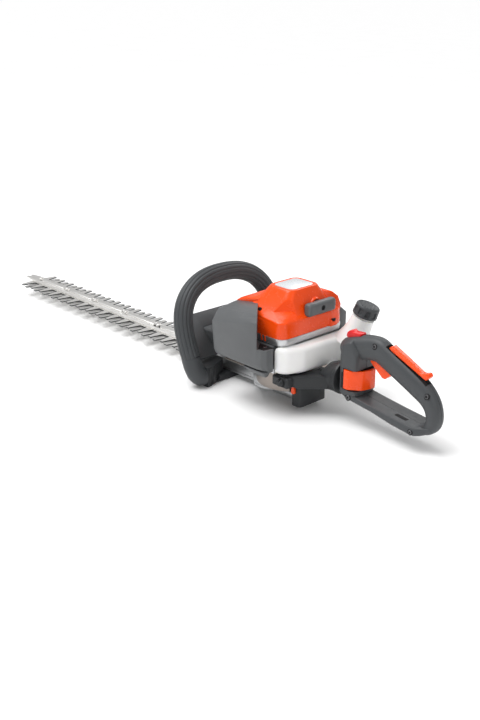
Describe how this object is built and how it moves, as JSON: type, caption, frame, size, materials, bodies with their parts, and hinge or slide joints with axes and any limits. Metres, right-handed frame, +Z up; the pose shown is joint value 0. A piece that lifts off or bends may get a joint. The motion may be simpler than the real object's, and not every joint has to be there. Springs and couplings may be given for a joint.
{
  "type": "hedge trimmer",
  "caption": "Petrol hedge trimmer with double-sided reciprocating blades, loop front handle and hand guard, recoil starter, translucent tank and a swivelling rear handle with throttle.",
  "frame": {"origin": "bottom centre of the bounding box, on the ground under the hand guard", "axes": "+X from the bar tip to the rear handle, +Y to the user's right, +Z up"},
  "size_m": [1.0712, 0.2276, 0.1843],
  "materials": {
    "orange": "glossy moulded plastic",
    "cover_gray": "satin moulded plastic",
    "dark_gray": "fine-grained moulded plastic",
    "rubber": "matte",
    "black": "matte moulded plastic",
    "tank_white": "translucent polyethylene",
    "silver": "fine sand-cast",
    "steel": "ground, satin",
    "taupe": "metallic paint, satin",
    "red": "glossy moulded plastic",
    "label": "plain silver plate with no text"
  },
  "bodies": {
    "machine": {"starter_cover": "orange", "left_engine_cover": "cover_gray", "right_engine_cover": "cover_gray", "front_handle": "dark_gray", "front_housing": "dark_gray", "hand_guard": "dark_gray", "rear_neck": "dark_gray", "front_grip": "rubber", "air_filter": "rubber", "spark_plug_boot": "rubber", "handle_bracket": "black", "filter_cover": "black", "intake_manifold": "black", "ignition_coil": "black", "starter_rope": "black", "fuel_line": "black", "fuel_tank": "tank_white", "gearcase_upper": "silver", "gearcase_lower": "silver", "crankcase": "silver", "cylinder": "silver", "carburettor": "silver", "fan_housing": "silver", "spark_plug": "silver", "guide_bar": "steel", "blade_bolt_1": "steel", "blade_bolt_2": "steel", "blade_bolt_3": "steel", "blade_bolt_4": "steel", "blade_bolt_5": "steel", "blade_bolt_6": "steel", "muffler": "steel", "recoil_spring": "steel", "clutch_cover": "taupe", "label_plate": "label"},
    "crankshaft": {"crankshaft_lower_half": "steel", "crankshaft_upper_half": "steel", "flywheel": "silver", "clutch_hub": "steel"},
    "piston": {"piston": "silver"},
    "piston_rod": {"piston_rod": "steel"},
    "clutch_drum": {"clutch_drum": "steel"},
    "drive_gear": {"drive_gear": "steel"},
    "upper_drive_rod": {"upper_drive_rod": "steel"},
    "lower_drive_rod": {"lower_drive_rod": "steel"},
    "upper_blade": {"upper_blade": "steel"},
    "lower_blade": {"lower_blade": "steel"},
    "starter_grip": {"starter_grip": "cover_gray"},
    "starter_pulley": {"starter_pulley": "black"},
    "fuel_cap_seal": {"fuel_cap_seal": "rubber"},
    "fuel_cap": {"fuel_cap": "dark_gray"},
    "choke_lever": {"choke_lever": "orange"},
    "primer_bulb": {"primer_bulb": "tank_white"},
    "rear_handle": {"swivel_collar": "black", "handle_shell_left": "dark_gray", "handle_shell_right": "dark_gray"},
    "throttle_trigger": {"throttle_trigger": "orange"},
    "throttle_lockout": {"throttle_lockout": "orange"},
    "stop_switch": {"stop_switch": "red"},
    "release_lever": {"release_lever": "orange"}
  },
  "joints": [
    {"name": "drive_gear_spin", "type": "hinge", "parent": "machine", "child": "drive_gear", "pos_m": [0.21068, 0, 0.03], "axis": [0, 0, 1], "continuous": true},
    {"name": "clutch_drum_spin", "type": "hinge", "parent": "machine", "child": "clutch_drum", "pos_m": [0.24818, 0, 0.042], "axis": [0, 0, 1], "continuous": true},
    {"name": "upper_rod_swing", "type": "hinge", "parent": "drive_gear", "child": "upper_drive_rod", "pos_m": [0.20467, 0.00529, 0.0257], "axis": [0, 0, 1], "continuous": true},
    {"name": "lower_rod_swing", "type": "hinge", "parent": "drive_gear", "child": "lower_drive_rod", "pos_m": [0.21668, -0.00529, 0.0183], "axis": [0, 0, 1], "continuous": true},
    {"name": "upper_blade_slide", "type": "slide", "parent": "machine", "child": "upper_blade", "axis": [1, 0, 0], "range_m": [-0.002, 0.014]},
    {"name": "lower_blade_slide", "type": "slide", "parent": "machine", "child": "lower_blade", "axis": [1, 0, 0], "range_m": [-0.014, 0.002]},
    {"name": "crankshaft_spin", "type": "hinge", "parent": "machine", "child": "crankshaft", "pos_m": [0.24818, 0, 0.085], "axis": [0, 0, 1], "continuous": true},
    {"name": "piston_slide", "type": "slide", "parent": "machine", "child": "piston", "axis": [0, 1, 0], "range_m": [-0.011, 0.011]},
    {"name": "piston_rod_swing", "type": "hinge", "parent": "piston", "child": "piston_rod", "pos_m": [0.24818, -0.0405, 0.085], "axis": [0, 0, 1], "range_deg": [-13, 13]},
    {"name": "starter_pull", "type": "slide", "parent": "machine", "child": "starter_grip", "axis": [0.9397, 0, 0.342], "range_m": [0, 0.6], "stiffness_N_per_m": 15, "springref_m": -0.05},
    {"name": "starter_pulley_spin", "type": "hinge", "parent": "machine", "child": "starter_pulley", "pos_m": [0.24818, 0, 0.1545], "axis": [0, 0, 1], "range_deg": [-1672, 0]},
    {"name": "fuel_cap_lift", "type": "slide", "parent": "machine", "child": "fuel_cap_seal", "axis": [0.2802, 0.1962, 0.9397], "range_m": [0, 0.0045]},
    {"name": "fuel_cap_turn", "type": "hinge", "parent": "fuel_cap_seal", "child": "fuel_cap", "pos_m": [0.33936, 0.06718, 0.15464], "axis": [0.2802, 0.1962, 0.9397], "range_deg": [0, 361]},
    {"name": "choke_turn", "type": "hinge", "parent": "machine", "child": "choke_lever", "pos_m": [0.29468, -0.0423, 0.034], "axis": [0, 1, 0], "range_deg": [0, 60]},
    {"name": "primer_press", "type": "slide", "parent": "machine", "child": "primer_bulb", "axis": [0, 1, 0], "range_m": [0, 0.004], "stiffness_N_per_m": 400, "springref_m": -0.001},
    {"name": "rear_handle_swivel", "type": "hinge", "parent": "machine", "child": "rear_handle", "pos_m": [0.35118, 0, 0.064], "axis": [1, 0, 0], "range_deg": [-90, 90]},
    {"name": "throttle_pull", "type": "hinge", "parent": "rear_handle", "child": "throttle_trigger", "pos_m": [0.41718, 0, 0.131], "axis": [0, -1, 0], "range_deg": [0, 18], "stiffness_Nm_per_rad": 0.4, "springref_deg": -8.59},
    {"name": "lockout_press", "type": "hinge", "parent": "rear_handle", "child": "throttle_lockout", "pos_m": [0.44617, 0, 0.133], "axis": [0, 1, 0], "range_deg": [0, 5], "stiffness_Nm_per_rad": 0.4, "springref_deg": -8.59},
    {"name": "stop_switch_rock", "type": "hinge", "parent": "rear_handle", "child": "stop_switch", "pos_m": [0.37617, 0, 0.1325], "axis": [0, 1, 0], "range_deg": [-8, 8]},
    {"name": "release_squeeze", "type": "hinge", "parent": "rear_handle", "child": "release_lever", "pos_m": [0.37667, -0.023, 0.074], "axis": [0, 0, 1], "range_deg": [0, 6], "stiffness_Nm_per_rad": 0.6, "springref_deg": -5.73}
  ],
  "couplings": [
    {"joint": "clutch_drum_spin", "follows": "drive_gear_spin", "ratio": -4},
    {"joint": "upper_rod_swing", "follows": "drive_gear_spin", "ratio": -1},
    {"joint": "lower_rod_swing", "follows": "drive_gear_spin", "ratio": -1},
    {"joint": "lower_blade_slide", "follows": "upper_blade_slide", "ratio": -1},
    {"joint": "starter_pulley_spin", "follows": "starter_pull", "rad_per_m": -48.544},
    {"joint": "fuel_cap_turn", "follows": "fuel_cap_lift", "rad_per_m": 1396.3}
  ]
}
